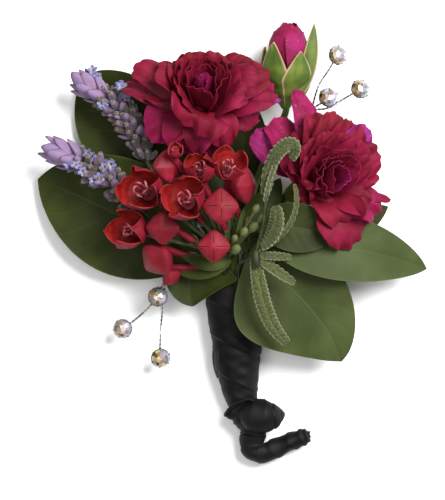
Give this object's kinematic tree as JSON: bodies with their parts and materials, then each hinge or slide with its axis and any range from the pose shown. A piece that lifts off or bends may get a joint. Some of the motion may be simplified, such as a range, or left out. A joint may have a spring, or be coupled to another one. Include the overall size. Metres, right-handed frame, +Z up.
{
  "type": "flower boutonniere",
  "caption": "Boutonniere of carnations, bouvardia, lavender and salal leaves with crystal sprays, its taped stems wrapped in black ribbon, lying on its back.",
  "frame": {"origin": "middle of the flat spot under the ribbon handle, on the table it lies on", "axes": "+Y from the ribbon handle towards the blooms, +X to the right seen from above, +Z up from the table"},
  "size_m": [0.1177, 0.1325, 0.0405],
  "materials": {
    "ribbon": "charcoal black satin",
    "tape": "matt green floral tape",
    "salal": "leathery living leaf, slight sheen",
    "petal": "soft matt crimson petal",
    "calyx": "smooth green calyx, pale margins",
    "lavender": "downy grey-brown calyces",
    "bract": "matt lilac bracts",
    "bouvardia": "smooth red petal",
    "stalk": "smooth green stalk",
    "foliage": "downy sage-green leaf",
    "metal": "polished silver wire and cups",
    "crystal": "faceted iridescent crystal, foil backed"
  },
  "bodies": {
    "root": {"bouvardia_flower_01": "bouvardia", "bouvardia_flower_02": "bouvardia", "bouvardia_flower_03": "bouvardia", "bouvardia_flower_04": "bouvardia", "bouvardia_flower_05": "bouvardia", "bouvardia_flower_06": "bouvardia", "bouvardia_flower_07": "bouvardia", "bouvardia_flower_08": "bouvardia", "bouvardia_flower_09": "bouvardia", "bouvardia_flower_10": "bouvardia", "bouvardia_flower_11": "bouvardia", "bouvardia_flower_12": "bouvardia", "bouvardia_flower_13": "bouvardia", "bouvardia_stalks": "stalk", "carnation_bud_calyx": "calyx", "carnation_bud_petals": "petal", "carnation_left_bloom": "petal", "carnation_left_calyx": "calyx", "carnation_right_bloom": "petal", "carnation_right_calyx": "calyx", "lavender_foliage": "foliage", "lavender_lower_bracts": "bract", "lavender_lower_spike": "lavender", "lavender_upper_bracts": "bract", "lavender_upper_spike": "lavender", "ribbon_wrap": "ribbon", "salal_leaf_back": "salal", "salal_leaf_lower_left": "salal", "salal_leaf_lower_middle": "salal", "salal_leaf_lower_right": "salal", "salal_leaf_right": "salal", "salal_leaf_right_back": "salal", "salal_leaf_right_front": "salal", "salal_leaf_upper_left": "salal", "spray_left_crystal_1": "crystal", "spray_left_crystal_2": "crystal", "spray_left_crystal_3": "crystal", "spray_left_wires": "metal", "spray_right_crystal_1": "crystal", "spray_right_crystal_2": "crystal", "spray_right_crystal_3": "crystal", "spray_right_wires": "metal", "taped_core": "tape"}
  },
  "joints": []
}
